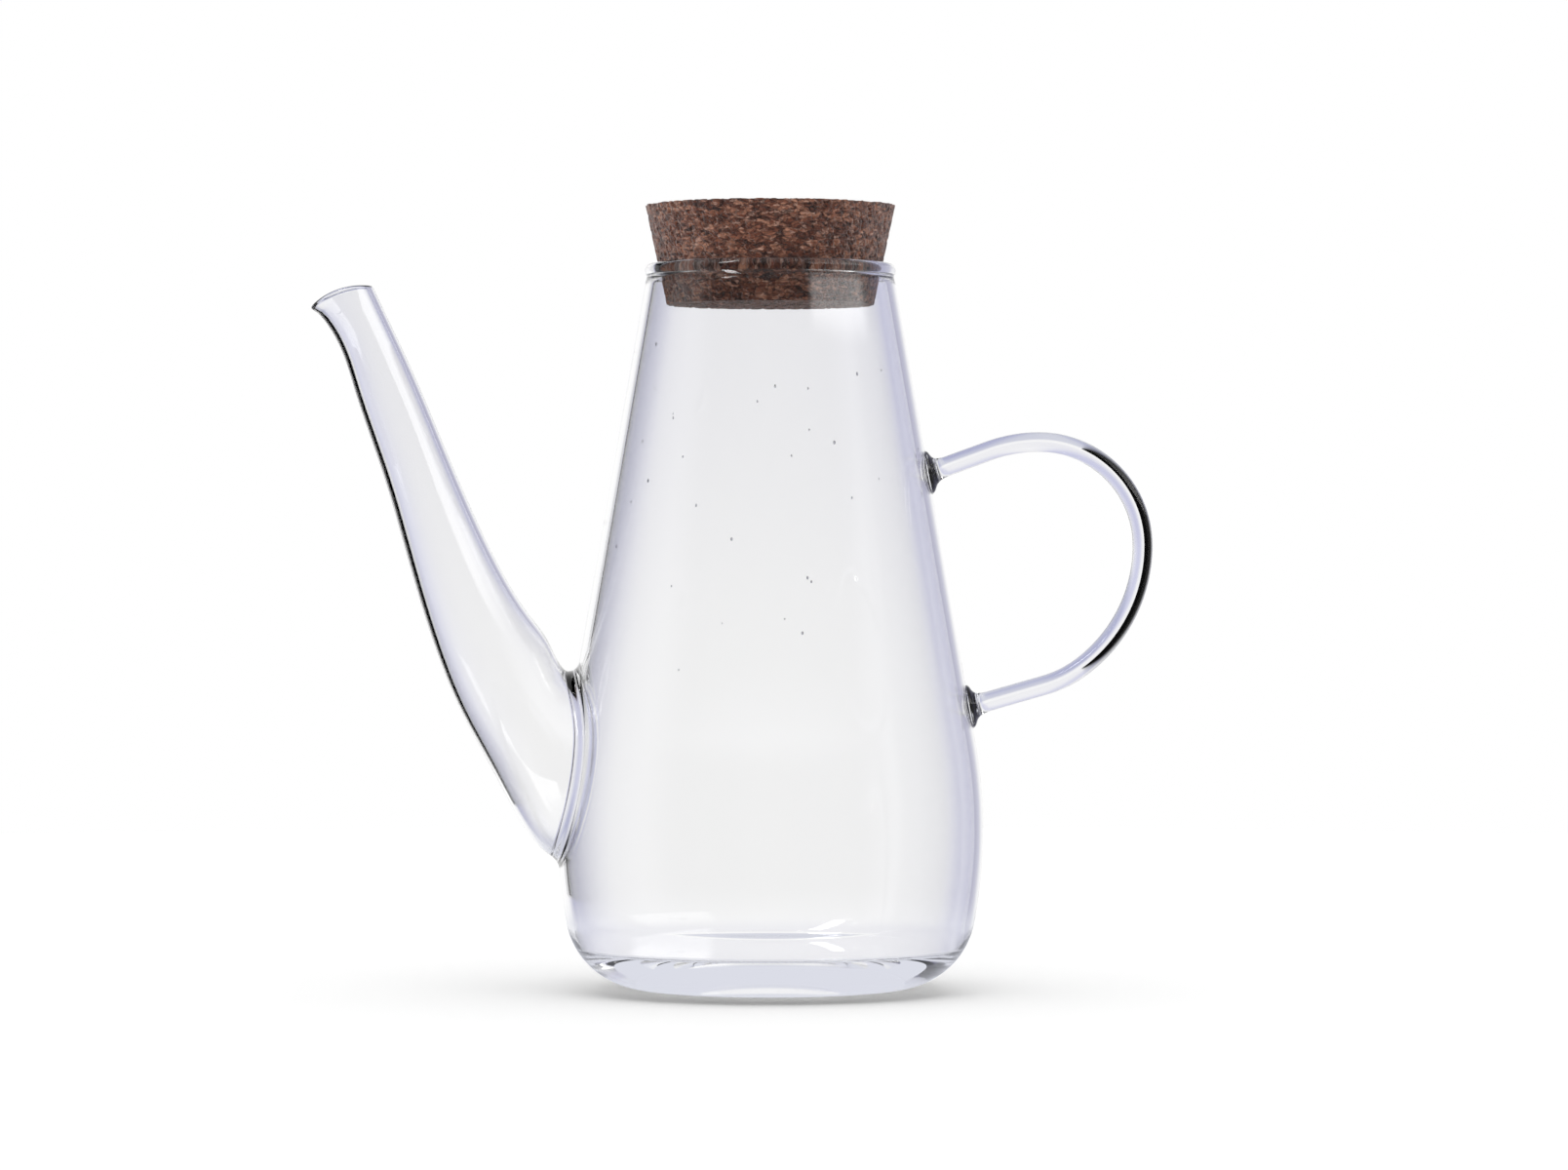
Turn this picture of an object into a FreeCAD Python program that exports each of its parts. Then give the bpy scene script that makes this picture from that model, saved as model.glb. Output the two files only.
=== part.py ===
"""Oil cruet: a blown glass body with a horn spout and a rod handle fused on, and a tapered cork.

Millimetres, +Z up. The origin is the centre of the base on the vessel's axis, at the level
of the surface it stands on. The spout leans towards -X and the handle stands out towards +X.
"""
import FreeCAD, Part
import math
import os

# Body, from the base up
footRadius = 26.5          # where the flat underside ends
bellyRadius = 45.2         # widest place
bellyHeight = 33.7
bellyArcRadius = 105.0     # bulge of the side through the belly
coneSlope = 0.175          # how much the side comes in for each millimetre up
wall = 1.8
puntRadius = 19.0          # hollow under the base
puntDepth = 1.3

# Floor of the cavity: a shallow bowl that meets the wall in a crease
floorCentreHeight = 3.6
creaseHeight = 8.5

# Fire-polished bead round the mouth
rimHeight = 153.7
beadRadius = 1.5

# Cork: a plain cone that wedges in the bead
corkTopRadius = 26.5
corkBottomRadius = 22.0
corkBottomHeight = 144.8
corkTopHeight = 166.0
corkEdgeRound = 0.4
corkGap = 0.02             # the cork sits line to line with the bead, less this

# Spout: round sections across a drawn horn, each with its centre x, centre z, diameter and lean.
# The lean is the angle from upright of the section's plane. The first stands in the cavity.
spoutSections = [
    (-34.5, 46.5, 37.0, 7.0),
    (-43.3, 46.7, 38.6, 7.0),
    (-53.0, 59.7, 30.4, 21.8),
    (-58.5, 69.0, 25.2, 34.4),
    (-63.3, 78.8, 21.0, 46.5),
    (-68.5, 92.0, 17.3, 59.7),
    (-74.9, 109.9, 14.4, 69.8),
    (-82.3, 129.4, 12.8, 67.7),
    (-88.3, 143.0, 12.1, 66.0),
    (-90.9, 147.1, 13.5, 73.8),
]
spoutWall = 1.2
spoutSeamRound = 2.8       # fused fillet where the horn joins the body
spoutCollar = 3.6          # width of the ring of body wall that the spout is fused on with

# Handle: a round rod that leaves the wall upwards, goes over and comes back
rodDiameter = 4.2
upperFoot = (33.0, 109.1)
upperRun = 14.3
upperRise = 20.0           # degrees above level where the rod leaves the wall
handleArcs = [(31.0, 20.0), (22.0, 90.0), (32.0, 55.0), (24.0, 19.0)]  # radius, turn in degrees
lowerRun = 17.4
footFlareRadius = 4.6      # the rod spreads into the wall at both feet
footFlareLength = 3.6
footInWall = 1.2           # how far the rod and its foot are drawn into the wall, then trimmed to it


yAxis = FreeCAD.Vector(0, 1, 0)


def vec(x, z):
    """Point in the plane of symmetry, which holds the spout and the handle."""
    return FreeCAD.Vector(x, 0, z)


def arcThrough(a, b, c):
    return Part.Arc(vec(*a), vec(*b), vec(*c)).toShape()


def line(a, b):
    return Part.LineSegment(vec(*a), vec(*b)).toShape()


def revolve(edges):
    face = Part.Face(Part.Wire(edges))
    return face.revolve(vec(0, 0), vec(0, 1), 360)


def arcPoint(centre, radius, angle):
    return (centre[0] + radius * math.cos(angle), centre[1] + radius * math.sin(angle))


def bodySide():
    """Centres, radii and turning angles of the heel arc and the belly arc, which run tangent."""
    belly = (bellyRadius - bellyArcRadius, bellyHeight)
    across = footRadius - belly[0]
    heelRadius = (bellyArcRadius ** 2 - across ** 2 - bellyHeight ** 2)
    heelRadius = heelRadius / (2 * (bellyArcRadius - bellyHeight))
    heel = (footRadius, heelRadius)
    joinAngle = math.atan2(heel[1] - belly[1], heel[0] - belly[0])
    coneAngle = math.atan(coneSlope)
    return heel, heelRadius, belly, joinAngle, coneAngle


def coneRadiusAt(z, inset=0.0):
    """Outer radius of the straight side at a height, less an inset square to the wall."""
    heel, heelRadius, belly, joinAngle, coneAngle = bodySide()
    start = arcPoint(belly, bellyArcRadius, coneAngle)
    return start[0] - coneSlope * (z - start[1]) - inset / math.cos(coneAngle)


def bodyOuter():
    heel, heelRadius, belly, joinAngle, coneAngle = bodySide()
    puntTop = (0.0, puntDepth)
    puntEdge = (puntRadius, 0.0)
    puntMiddle = (puntRadius * 0.55, puntDepth * 0.74)
    foot = (footRadius, 0.0)
    heelMiddle = arcPoint(heel, heelRadius, (joinAngle - math.pi / 2) / 2)
    heelTop = arcPoint(heel, heelRadius, joinAngle)
    bellyMiddle = arcPoint(belly, bellyArcRadius, (joinAngle + coneAngle) / 2)
    coneFoot = arcPoint(belly, bellyArcRadius, coneAngle)
    beadHeight = rimHeight - beadRadius
    coneTop = (coneRadiusAt(beadHeight), beadHeight)
    return revolve([
        arcThrough(puntTop, puntMiddle, puntEdge),
        line(puntEdge, foot),
        arcThrough(foot, heelMiddle, heelTop),
        arcThrough(heelTop, bellyMiddle, coneFoot),
        line(coneFoot, coneTop),
        line(coneTop, (0.0, beadHeight)),
        line((0.0, beadHeight), puntTop),
    ])


def bodyCavity():
    heel, heelRadius, belly, joinAngle, coneAngle = bodySide()
    inner = bellyArcRadius - wall
    drop = creaseHeight - bellyHeight
    crease = (belly[0] + math.sqrt(inner ** 2 - drop ** 2), creaseHeight)
    creaseAngle = math.atan2(drop, crease[0] - belly[0])
    sideMiddle = arcPoint(belly, inner, (creaseAngle + coneAngle) / 2)
    coneFoot = arcPoint(belly, inner, coneAngle)
    above = rimHeight + 2.0
    coneTop = (coneRadiusAt(above, wall), above)
    bowlMiddle = (crease[0] * 0.5, floorCentreHeight + (creaseHeight - floorCentreHeight) * 0.25)
    return revolve([
        arcThrough((0.0, floorCentreHeight), bowlMiddle, crease),
        arcThrough(crease, sideMiddle, coneFoot),
        line(coneFoot, coneTop),
        line(coneTop, (0.0, above)),
        line((0.0, above), (0.0, floorCentreHeight)),
    ])


def hornSolid(sections, inset):
    """Solid whose skin runs smoothly through the sections, each smaller by the inset all round.

    Each section is a circle written as nine weighted poles, and each pole is carried along
    the horn by its own cubic, so that the skin is one face.
    """
    corners = [(1, 0), (1, 1), (0, 1), (-1, 1), (-1, 0), (-1, -1), (0, -1), (1, -1), (1, 0)]
    weights = [1.0 if 0 in corner else math.sqrt(0.5) for corner in corners]
    rows = []
    for x, z, diameter, lean in sections:
        radius = diameter / 2 - inset
        turn = FreeCAD.Rotation(yAxis, lean - 90)
        place = FreeCAD.Placement(vec(x, z), turn)
        rows.append([place.multVec(FreeCAD.Vector(a * radius, b * radius, 0)) for a, b in corners])
    along = [0.0]
    for near, far in zip(sections, sections[1:]):
        along.append(along[-1] + math.hypot(far[0] - near[0], far[1] - near[1]))
    lines = []
    for column in range(len(corners)):
        curve = Part.BSplineCurve()
        curve.interpolate(Points=[row[column] for row in rows], Parameters=along)
        lines.append(curve)
    poles = [curve.getPoles() for curve in lines]
    skin = Part.BSplineSurface()
    skin.buildFromPolesMultsKnots(
        poles, [3, 2, 2, 2, 3], lines[0].getMultiplicities(), [0, 1, 2, 3, 4], lines[0].getKnots(),
        False, False, 2, 3, [[weight] * len(poles[0]) for weight in weights])
    side = skin.toShape()
    ends = [Part.Face(Part.Wire([edge])) for edge in side.Edges if edge.isClosed()]
    shell = Part.makeShell([side] + ends)
    shell.sewShape()
    return Part.makeSolid(shell)


def spoutOuter():
    return hornSolid(spoutSections, 0.0)


def spoutBore():
    """The spout's inside, run on into the cavity and out past the mouth."""
    x, z, diameter, lean = spoutSections[0]
    inCavity = (x + 8.0, z, diameter, lean)
    x, z, diameter, lean = spoutSections[-1]
    beforeX, beforeZ = spoutSections[-2][:2]
    pastMouth = (2 * x - beforeX, 2 * z - beforeZ, diameter, lean)
    return hornSolid([inCavity] + spoutSections + [pastMouth], spoutWall)


def handlePath():
    """Straight run, four tangent arcs and a straight run, from the upper foot to the lower."""
    heading = math.radians(upperRise)
    here = upperFoot
    edges = []

    def step(length):
        return (here[0] + length * math.cos(heading), here[1] + length * math.sin(heading))

    there = step(upperRun)
    edges.append(line(here, there))
    here = there
    for radius, turn in handleArcs:
        centre = (here[0] + radius * math.sin(heading), here[1] - radius * math.cos(heading))
        start = heading + math.pi / 2
        sweep = math.radians(turn)
        middle = arcPoint(centre, radius, start - sweep / 2)
        there = arcPoint(centre, radius, start - sweep)
        edges.append(arcThrough(here, middle, there))
        here = there
        heading = heading - sweep
    there = step(lowerRun)
    edges.append(line(here, there))
    return edges, there, heading


def handleFoot(place, heading):
    """Trumpet round the rod's end, wide at the wall, narrowing along the heading."""
    rod = rodDiameter / 2
    reach = footInWall + footFlareLength
    bend = (rod + (footFlareRadius - rod) * 0.25, footInWall + footFlareLength * 0.35)
    flare = revolve([
        line((0.0, 0.0), (footFlareRadius, 0.0)),
        line((footFlareRadius, 0.0), (footFlareRadius, footInWall)),
        arcThrough((footFlareRadius, footInWall), bend, (rod, reach)),
        line((rod, reach), (0.0, reach)),
        line((0.0, reach), (0.0, 0.0)),
    ])
    turn = FreeCAD.Rotation(yAxis, 90 - math.degrees(heading))
    flare.Placement = FreeCAD.Placement(vec(*place), turn)
    return flare


def handle():
    edges, lowerFoot, heading = handlePath()
    section = Part.makeCircle(rodDiameter / 2)
    turn = FreeCAD.Rotation(yAxis, 90 - upperRise)
    section.Placement = FreeCAD.Placement(vec(*upperFoot), turn)
    rod = Part.Wire(edges).makePipeShell([Part.Wire([section])], True, True)
    upper = handleFoot(upperFoot, math.radians(upperRise))
    lower = handleFoot(lowerFoot, heading + math.pi)
    return rod.fuse([upper, lower])


def rimBead():
    """Ring of round section that the cork's side just touches."""
    height = rimHeight - beadRadius
    slope = (corkTopRadius - corkBottomRadius) / (corkTopHeight - corkBottomHeight)
    corkRadius = corkBottomRadius + slope * (height - corkBottomHeight)
    ring = corkRadius + (beadRadius + corkGap) / math.cos(math.atan(slope))
    bead = Part.makeTorus(ring, beadRadius)
    bead.translate(vec(0, height))
    return bead


def seamEdges(shape):
    """Edges where the horn's skin, the only free-form face, meets the body's round side."""
    found = []
    for edge in shape.Edges:
        faces = [face for face in shape.Faces if any(edge.isSame(other) for other in face.Edges)]
        kinds = [face.Surface.TypeId for face in faces]
        atHorn = kinds.count("Part::GeomBSplineSurface") == 1
        if len(faces) == 2 and atHorn and "Part::GeomPlane" not in kinds:
            found.append(edge)
    return found


def glassPieces():
    """Body, spout and handle, each trimmed to the next where they are fused together."""
    bodySolid = bodyOuter()
    outer = bodySolid.fuse(spoutOuter()).removeSplitter()
    outer = outer.makeFillet(spoutSeamRound, seamEdges(outer))
    glass = outer.cut([bodyCavity(), spoutBore()]).fuse(rimBead()).removeSplitter()
    collar = hornSolid(spoutSections, -spoutCollar)
    body = glass.cut(collar)
    spout = glass.common(collar)
    rod = handle().cut(bodySolid)
    return body.Solids[0], spout.Solids[0], rod.Solids[0]


def cork():
    height = corkTopHeight - corkBottomHeight
    plug = Part.makeCone(corkBottomRadius, corkTopRadius, height)
    plug.translate(vec(0, corkBottomHeight))
    rims = [edge for edge in plug.Edges if edge.Curve.TypeId == "Part::GeomCircle"]
    return plug.makeFillet(corkEdgeRound, rims).Solids[0]


os.makedirs("parts", exist_ok=True)
glassBody, glassSpout, glassHandle = glassPieces()
pieces = (("glass_body", glassBody), ("glass_spout", glassSpout),
          ("glass_handle", glassHandle), ("cork_stopper", cork()))
for name, shape in pieces:
    print(name, shape.ShapeType, "solids", len(shape.Solids), "valid", shape.isValid(),
          "volume", round(shape.Volume), "mm3", shape.BoundBox)
    shape.exportStep("parts/%s.step" % name)
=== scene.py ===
import bpy
import math
import numpy as np
from mathutils.geometry import delaunay_2d_cdt
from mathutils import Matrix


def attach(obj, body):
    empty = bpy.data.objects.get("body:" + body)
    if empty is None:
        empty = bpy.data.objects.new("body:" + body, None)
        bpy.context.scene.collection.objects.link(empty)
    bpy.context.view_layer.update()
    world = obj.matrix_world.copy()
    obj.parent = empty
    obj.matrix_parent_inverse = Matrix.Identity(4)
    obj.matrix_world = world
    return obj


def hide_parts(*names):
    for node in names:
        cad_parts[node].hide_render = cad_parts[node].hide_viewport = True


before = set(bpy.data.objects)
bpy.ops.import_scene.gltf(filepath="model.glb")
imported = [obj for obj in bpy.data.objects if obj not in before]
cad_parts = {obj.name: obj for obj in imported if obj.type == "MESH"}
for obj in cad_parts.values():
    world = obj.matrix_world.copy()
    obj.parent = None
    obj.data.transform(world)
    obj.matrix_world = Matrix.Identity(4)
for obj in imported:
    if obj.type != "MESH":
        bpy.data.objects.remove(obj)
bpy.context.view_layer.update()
mm = 0.001
print("cruet: frame loaded")


# small helpers; sizes are in millimetres until a mesh is made

def rgba(hexColour):
    # an sRGB hex colour as the linear values that the nodes use
    parts = [int(hexColour[i:i + 2], 16) / 255 for i in (1, 3, 5)]
    return [c / 12.92 if c <= 0.04045 else ((c + 0.055) / 1.055) ** 2.4 for c in parts] + [1.0]


def addNode(tree, kind, settings=None, inputs=None):
    # a node with its settings, and its inputs set to values or linked to sockets
    node = tree.nodes.new(kind)
    for name, value in (settings or {}).items():
        setattr(node, name, value)
    for name, value in (inputs or {}).items():
        if isinstance(value, bpy.types.NodeSocket):
            tree.links.new(value, node.inputs[name])
        else:
            node.inputs[name].default_value = value
    return node


def maths(tree, operation, a, b=0.0, c=0.0):
    return addNode(tree, "ShaderNodeMath", {"operation": operation}, {0: a, 1: b, 2: c}).outputs[0]


def mixColour(tree, factor, a, b):
    return addNode(tree, "ShaderNodeMix", {"data_type": "RGBA"},
                   {"Factor": factor, "A": a, "B": b}).outputs["Result"]


def spanOf(tree, value, low, high, first=0.0, last=1.0):
    # goes smoothly from first to last while the value goes from low to high
    return addNode(tree, "ShaderNodeMapRange", {"interpolation_type": "SMOOTHSTEP"},
                   {"Value": value, "From Min": low, "From Max": high,
                    "To Min": first, "To Max": last}).outputs[0]


def newMaterial(name):
    material = bpy.data.materials.new(name)
    material.use_nodes = True
    material.node_tree.nodes.clear()
    return material, material.node_tree


def unit(v):
    return v / np.linalg.norm(v, axis=-1, keepdims=True)


def arcRows(centre, radius, start, end, step):
    # points on an arc, with the direction of travel at each
    count = max(3, int(abs(end - start) * radius / step) + 1)
    a = np.linspace(start, end, count)
    way = 1.0 if end > start else -1.0
    points = np.stack([centre[0] + radius * np.cos(a), centre[1] + radius * np.sin(a)], 1)
    return points, np.stack([-np.sin(a), np.cos(a)], 1) * way


def lineRows(a, b, step):
    a, b = np.array(a, float), np.array(b, float)
    count = max(2, int(np.linalg.norm(b - a) / step) + 1)
    points = a + (b - a) * np.linspace(0, 1, count)[:, None]
    return points, np.repeat(unit(b - a)[None], count, 0)


def bendRows(a, b, c, d, count):
    # Bezier from a to d with handles b and c
    a, b, c, d = (np.asarray(p, float) for p in (a, b, c, d))
    t = np.linspace(0, 1, count).reshape([-1] + [1] * a.ndim)
    points = (1 - t) ** 3 * a + 3 * (1 - t) ** 2 * t * b + 3 * (1 - t) * t ** 2 * c + t ** 3 * d
    along = (1 - t) ** 2 * (b - a) + 2 * (1 - t) * t * (c - b) + t ** 2 * (d - c)
    return points, unit(along)


def cornerBend(before, beforeWay, after, afterWay, reach, count):
    # rounds the corner from one place to the next, leaving and arriving along their ways
    before, after = np.array(before, float), np.array(after, float)
    return bendRows(before, before + np.array(beforeWay) * reach,
                    after - np.array(afterWay) * reach, after, count)


def smoothThrough(places, values):
    # natural cubic spline through rows of values; returns a function of place
    n = len(places)
    gap = np.diff(places)
    system = np.eye(n)
    right = np.zeros_like(values)
    for i in range(1, n - 1):
        system[i, i - 1:i + 2] = gap[i - 1], 2 * (gap[i - 1] + gap[i]), gap[i]
        right[i] = 6 * ((values[i + 1] - values[i]) / gap[i] - (values[i] - values[i - 1]) / gap[i - 1])
    bend = np.linalg.solve(system, right)

    def at(place):
        i = np.clip(np.searchsorted(places, place) - 1, 0, n - 2)
        h = gap[i][..., None]
        a = ((places[i + 1] - place) / gap[i])[..., None]
        b = 1 - a
        return (a * values[i] + b * values[i + 1]
                + ((a ** 3 - a) * bend[i] + (b ** 3 - b) * bend[i + 1]) * h ** 2 / 6)
    return at


# the glass vessel: body, spout and handle as one closed skin of borosilicate glass

bodySizes = {
    "footRadius": 26.5, "bellyRadius": 45.2, "bellyHeight": 33.7, "bellyArc": 105.0,
    "coneSlope": 0.175, "wall": 1.8, "puntRadius": 19.0, "puntDepth": 1.3, "brimRound": 2.0,
    "floorHeight": 3.6, "creaseHeight": 8.5, "creaseRound": 0.8,
    "rimHeight": 153.7, "beadRadius": 1.5, "beadRing": 25.12, "beadFrom": -32, "beadTo": 205,     # degrees
    "beadStep": 0.3, "grooveHeight": 149.6,
    "baseReach": 30.0,          # rows nearer the axis than this belong to the base
    "columns": 240, "rowStep": 1.7,
}


def bodyProfile(s):
    # from the middle of the underside out, up, over the bead, down and in to the middle of the floor
    belly = (s["bellyRadius"] - s["bellyArc"], s["bellyHeight"])
    across = s["footRadius"] - belly[0]
    heel = s["bellyArc"] ** 2 - across ** 2 - s["bellyHeight"] ** 2
    heel = heel / (2 * (s["bellyArc"] - s["bellyHeight"]))
    join = math.atan2(heel - belly[1], s["footRadius"] - belly[0])
    lean = math.atan(s["coneSlope"])
    up = np.array([-math.sin(lean), math.cos(lean)])
    outward = np.array([math.cos(lean), math.sin(lean)])
    step = s["rowStep"]
    coneFoot = np.array(belly) + s["bellyArc"] * outward

    def onCone(height, inset):
        start = coneFoot - inset * outward
        return start + up * (height - start[1]) / up[1]

    parts = []
    dome = (s["puntRadius"] ** 2 + s["puntDepth"] ** 2) / (2 * s["puntDepth"])
    edge = math.asin(s["puntRadius"] / dome)
    half = math.pi / 2
    domeCentre = (0.0, s["puntDepth"] - dome)
    edgeRound = s["brimRound"] / dome
    parts.append(arcRows(domeCentre, dome, half, half - edge + edgeRound, step * 2))
    brim, brimWay = parts[0][0][-1], parts[0][1][-1]
    flat = (s["puntRadius"] + s["brimRound"], 0.0)
    parts.append(cornerBend(brim, brimWay, flat, (1, 0), 1.3, 7))
    parts.append(lineRows(flat, (s["footRadius"], 0.0), step))
    parts.append(arcRows((s["footRadius"], heel), heel, -half, join, step * 0.7))
    parts.append(arcRows(belly, s["bellyArc"], join, lean, step))
    groove = onCone(s["grooveHeight"], 0.0)
    parts.append(lineRows(coneFoot, groove, step))
    bead = (s["beadRing"], s["rimHeight"] - s["beadRadius"])
    beadRows = arcRows(bead, s["beadRadius"], math.radians(s["beadFrom"]), math.radians(s["beadTo"]),
                       s["beadStep"])
    parts.append(cornerBend(groove, up, beadRows[0][0], beadRows[1][0], 0.7, 7))
    parts.append(beadRows)
    neck = onCone(s["grooveHeight"] - 0.6, s["wall"])
    parts.append(cornerBend(beadRows[0][-1], beadRows[1][-1], neck, -up, 0.9, 8))
    innerFoot = coneFoot - s["wall"] * outward
    parts.append(lineRows(neck, innerFoot, step * 1.15))
    innerArc = s["bellyArc"] - s["wall"]
    low = math.asin((s["creaseHeight"] + s["creaseRound"] - belly[1]) / innerArc)
    parts.append(arcRows(belly, innerArc, lean, low, step * 1.1))
    creaseReach = math.sqrt(innerArc ** 2 - (s["creaseHeight"] - belly[1]) ** 2) + belly[0]
    rise = s["creaseHeight"] - s["floorHeight"]
    bowl = (creaseReach ** 2 + rise ** 2) / (2 * rise)
    bowlEdge = math.asin((creaseReach - s["creaseRound"]) / bowl)
    floorRows = arcRows((0.0, s["floorHeight"] + bowl), bowl, -half + bowlEdge, -half, step * 1.5)
    parts.append(cornerBend(parts[-1][0][-1], parts[-1][1][-1],
                            floorRows[0][0], floorRows[1][0], s["creaseRound"] * 0.6, 8))
    parts.append(floorRows)
    points = np.concatenate([p[0][:-1] for p in parts[:-1]] + [parts[-1][0]])
    ways = np.concatenate([p[1][:-1] for p in parts[:-1]] + [parts[-1][1]])
    points[0, 0] = points[-1, 0] = 0.0
    return points, np.stack([ways[:, 1], -ways[:, 0]], 1)


profile, profileOut = bodyProfile(bodySizes)
profileRun = np.concatenate([[0], np.cumsum(np.linalg.norm(np.diff(profile, axis=0), axis=1))])
topRow = int(np.argmax(profile[:, 1]))            # the bead's highest row parts outside from inside
columns = bodySizes["columns"]
columnAngles = -math.pi / 2 + 2 * math.pi * np.arange(columns) / columns


def sideRadius(height, inside):
    # radius of the outer or inner side at a height above the base
    rows = slice(topRow, len(profile)) if inside else slice(0, topRow + 1)
    r, z = profile[rows, 0], profile[rows, 1]
    if inside:
        r, z = r[::-1], z[::-1]
    keep = np.argmax(r > bodySizes["baseReach"])
    return np.interp(height, z[keep:], r[keep:])


def surfacePoint(angle, run):
    # the point and its normal at an angle round the axis and a run along the profile
    r = np.interp(run, profileRun, profile[:, 0])
    z = np.interp(run, profileRun, profile[:, 1])
    out = np.stack([np.interp(run, profileRun, profileOut[:, k]) for k in (0, 1)], -1)
    out = unit(out)
    point = np.stack([r * np.cos(angle), r * np.sin(angle), z], -1)
    normal = np.stack([out[..., 0] * np.cos(angle), out[..., 0] * np.sin(angle), out[..., 1]], -1)
    return point, normal


def ontoSide(points, inside):
    # nearest place on the outer or inner side, as an angle and a run along the profile
    first, last = (topRow, len(profile) - 1) if inside else (0, topRow)
    angle = np.mod(np.arctan2(points[..., 1], points[..., 0]) + math.pi / 2, 2 * math.pi) - math.pi / 2
    flat = np.stack([np.hypot(points[..., 0], points[..., 1]), points[..., 2]], -1)
    a, b = profile[first:last], profile[first + 1:last + 1]
    gap = b - a
    t = ((flat[..., None, :] - a) * gap).sum(-1) / (gap ** 2).sum(-1)
    t = np.clip(t, 0, 1)
    near = a + gap * t[..., None]
    best = np.argmin(((flat[..., None, :] - near) ** 2).sum(-1), axis=-1)
    bestT = np.take_along_axis(t, best[..., None], -1)[..., 0]
    run = profileRun[first + best] + bestT * (profileRun[first + best + 1] - profileRun[first + best])
    return angle, run


class Skin:
    # gathers points, their normals and faces of one closed surface

    def __init__(self):
        self.points, self.normals, self.faces, self.count = [], [], [], 0

    def addPoints(self, points, normals):
        start = self.count
        self.points.append(points.reshape(-1, 3))
        self.normals.append(normals.reshape(-1, 3))
        self.count += len(self.points[-1])
        return np.arange(start, self.count).reshape(points.shape[:-1])

    def addGrid(self, index):
        # quads between the rings of an index grid, turned to face the way the normals point
        onward = np.roll(index, -1, 1)
        quads = np.stack([index[:-1], onward[:-1], onward[1:], index[1:]], -1).reshape(-1, 4)
        points, normals = np.concatenate(self.points), np.concatenate(self.normals)
        corner = points[quads]
        facing = np.cross(corner[:, 2] - corner[:, 0], corner[:, 3] - corner[:, 1])
        if (facing * normals[quads].sum(1)).sum() < 0:
            quads = quads[:, ::-1]
        self.faces.extend(quads.tolist())


def bodySkin(skin, holes):
    # turns the profile round the axis, leaving out the blocks that hold a fused ring
    count = len(profile)
    rows = np.arange(1, count - 1)
    angle, run = np.meshgrid(columnAngles, profileRun[rows])
    points, normals = surfacePoint(angle, run)
    index = np.full((count, columns), -1)
    index[1:-1] = skin.addPoints(points, normals)
    ends = skin.addPoints(np.array([[0, 0, profile[0, 1]], [0, 0, profile[-1, 1]]]),
                          np.array([[0, 0, -1.0], [0, 0, 1.0]]))
    for j in range(columns):
        k = (j + 1) % columns
        skin.faces.append([int(ends[0]), int(index[1, k]), int(index[1, j])])
        skin.faces.append([int(ends[1]), int(index[-2, j]), int(index[-2, k])])
    keep = np.ones((count - 1, columns), bool)
    keep[0] = keep[-1] = False
    for hole in holes:
        patchHole(skin, index, keep, hole)
    i, j = np.nonzero(keep)
    k = (j + 1) % columns
    skin.faces.extend(np.stack([index[i, j], index[i, k], index[i + 1, k], index[i + 1, j]], 1).tolist())


def insideRing(points, ring):
    # even-odd test of flat points against a closed ring
    x, y = points[:, 0][:, None], points[:, 1][:, None]
    ax, ay = ring[:, 0], ring[:, 1]
    bx, by = np.roll(ax, -1), np.roll(ay, -1)
    crosses = (ay > y) != (by > y)
    where = ax + (y - ay) * (bx - ax) / np.where(by == ay, 1e-9, by - ay)
    return (crosses & (x < where)).sum(1) % 2 == 1


def patchHole(skin, index, keep, hole):
    # takes out a block of the body's grid and fills it again up to the ring
    angle, run, ringIndex = hole["angle"], hole["run"], hole["index"]
    scale = 0.5 * (profile[np.searchsorted(profileRun, run.min()), 0]
                   + profile[np.searchsorted(profileRun, run.max()), 0])
    step = 2 * math.pi / columns
    firstColumn = int((angle.min() - columnAngles[0]) / step) - 2
    lastColumn = int((angle.max() - columnAngles[0]) / step) + 3
    firstRow = int(np.searchsorted(profileRun, run.min())) - 3
    lastRow = int(np.searchsorted(profileRun, run.max())) + 2
    keep[firstRow:lastRow, firstColumn:lastColumn] = False
    ring = np.stack([angle * scale, run], 1)
    block = [(i, j) for i in range(firstRow, lastRow + 1) for j in range(firstColumn, lastColumn + 1)]
    flat = np.array([[columnAngles[j] * scale, profileRun[i]] for i, j in block])
    onEdge = np.array([i in (firstRow, lastRow) or j in (firstColumn, lastColumn) for i, j in block])
    gap = np.min(np.linalg.norm(flat[:, None] - ring[None], axis=-1), axis=1)
    use = onEdge | (~insideRing(flat, ring) & (gap > hole["clear"]))
    order = [int(index[i, j]) for (i, j), used in zip(block, use) if used]
    places = [tuple(p) for p in flat[use]] + [tuple(p) for p in ring]
    order += [int(n) for n in ringIndex]
    start = int(use.sum())
    size = len(ring)
    edges = [(start + n, start + (n + 1) % size) for n in range(size)]
    found = delaunay_2d_cdt(places, edges, [], 0, 1e-7)
    newPlaces, newFaces, origins = found[0], found[2], found[3]
    assert len(newPlaces) == len(places)
    flatNew = np.array([tuple(p) for p in newPlaces])
    triangles = np.array([list(f) for f in newFaces])
    middle = flatNew[triangles].mean(1)
    triangles = triangles[~insideRing(middle, ring)]
    a, b, c = (flatNew[triangles[:, k]] for k in range(3))
    area = (b[:, 0] - a[:, 0]) * (c[:, 1] - a[:, 1]) - (b[:, 1] - a[:, 1]) * (c[:, 0] - a[:, 0])
    triangles[area < 0] = triangles[area < 0][:, ::-1]
    triangles = triangles[np.abs(area) > 1e-6]
    toSkin = np.array([order[o[0]] for o in origins])
    skin.faces.extend(toSkin[triangles].tolist())


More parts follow.
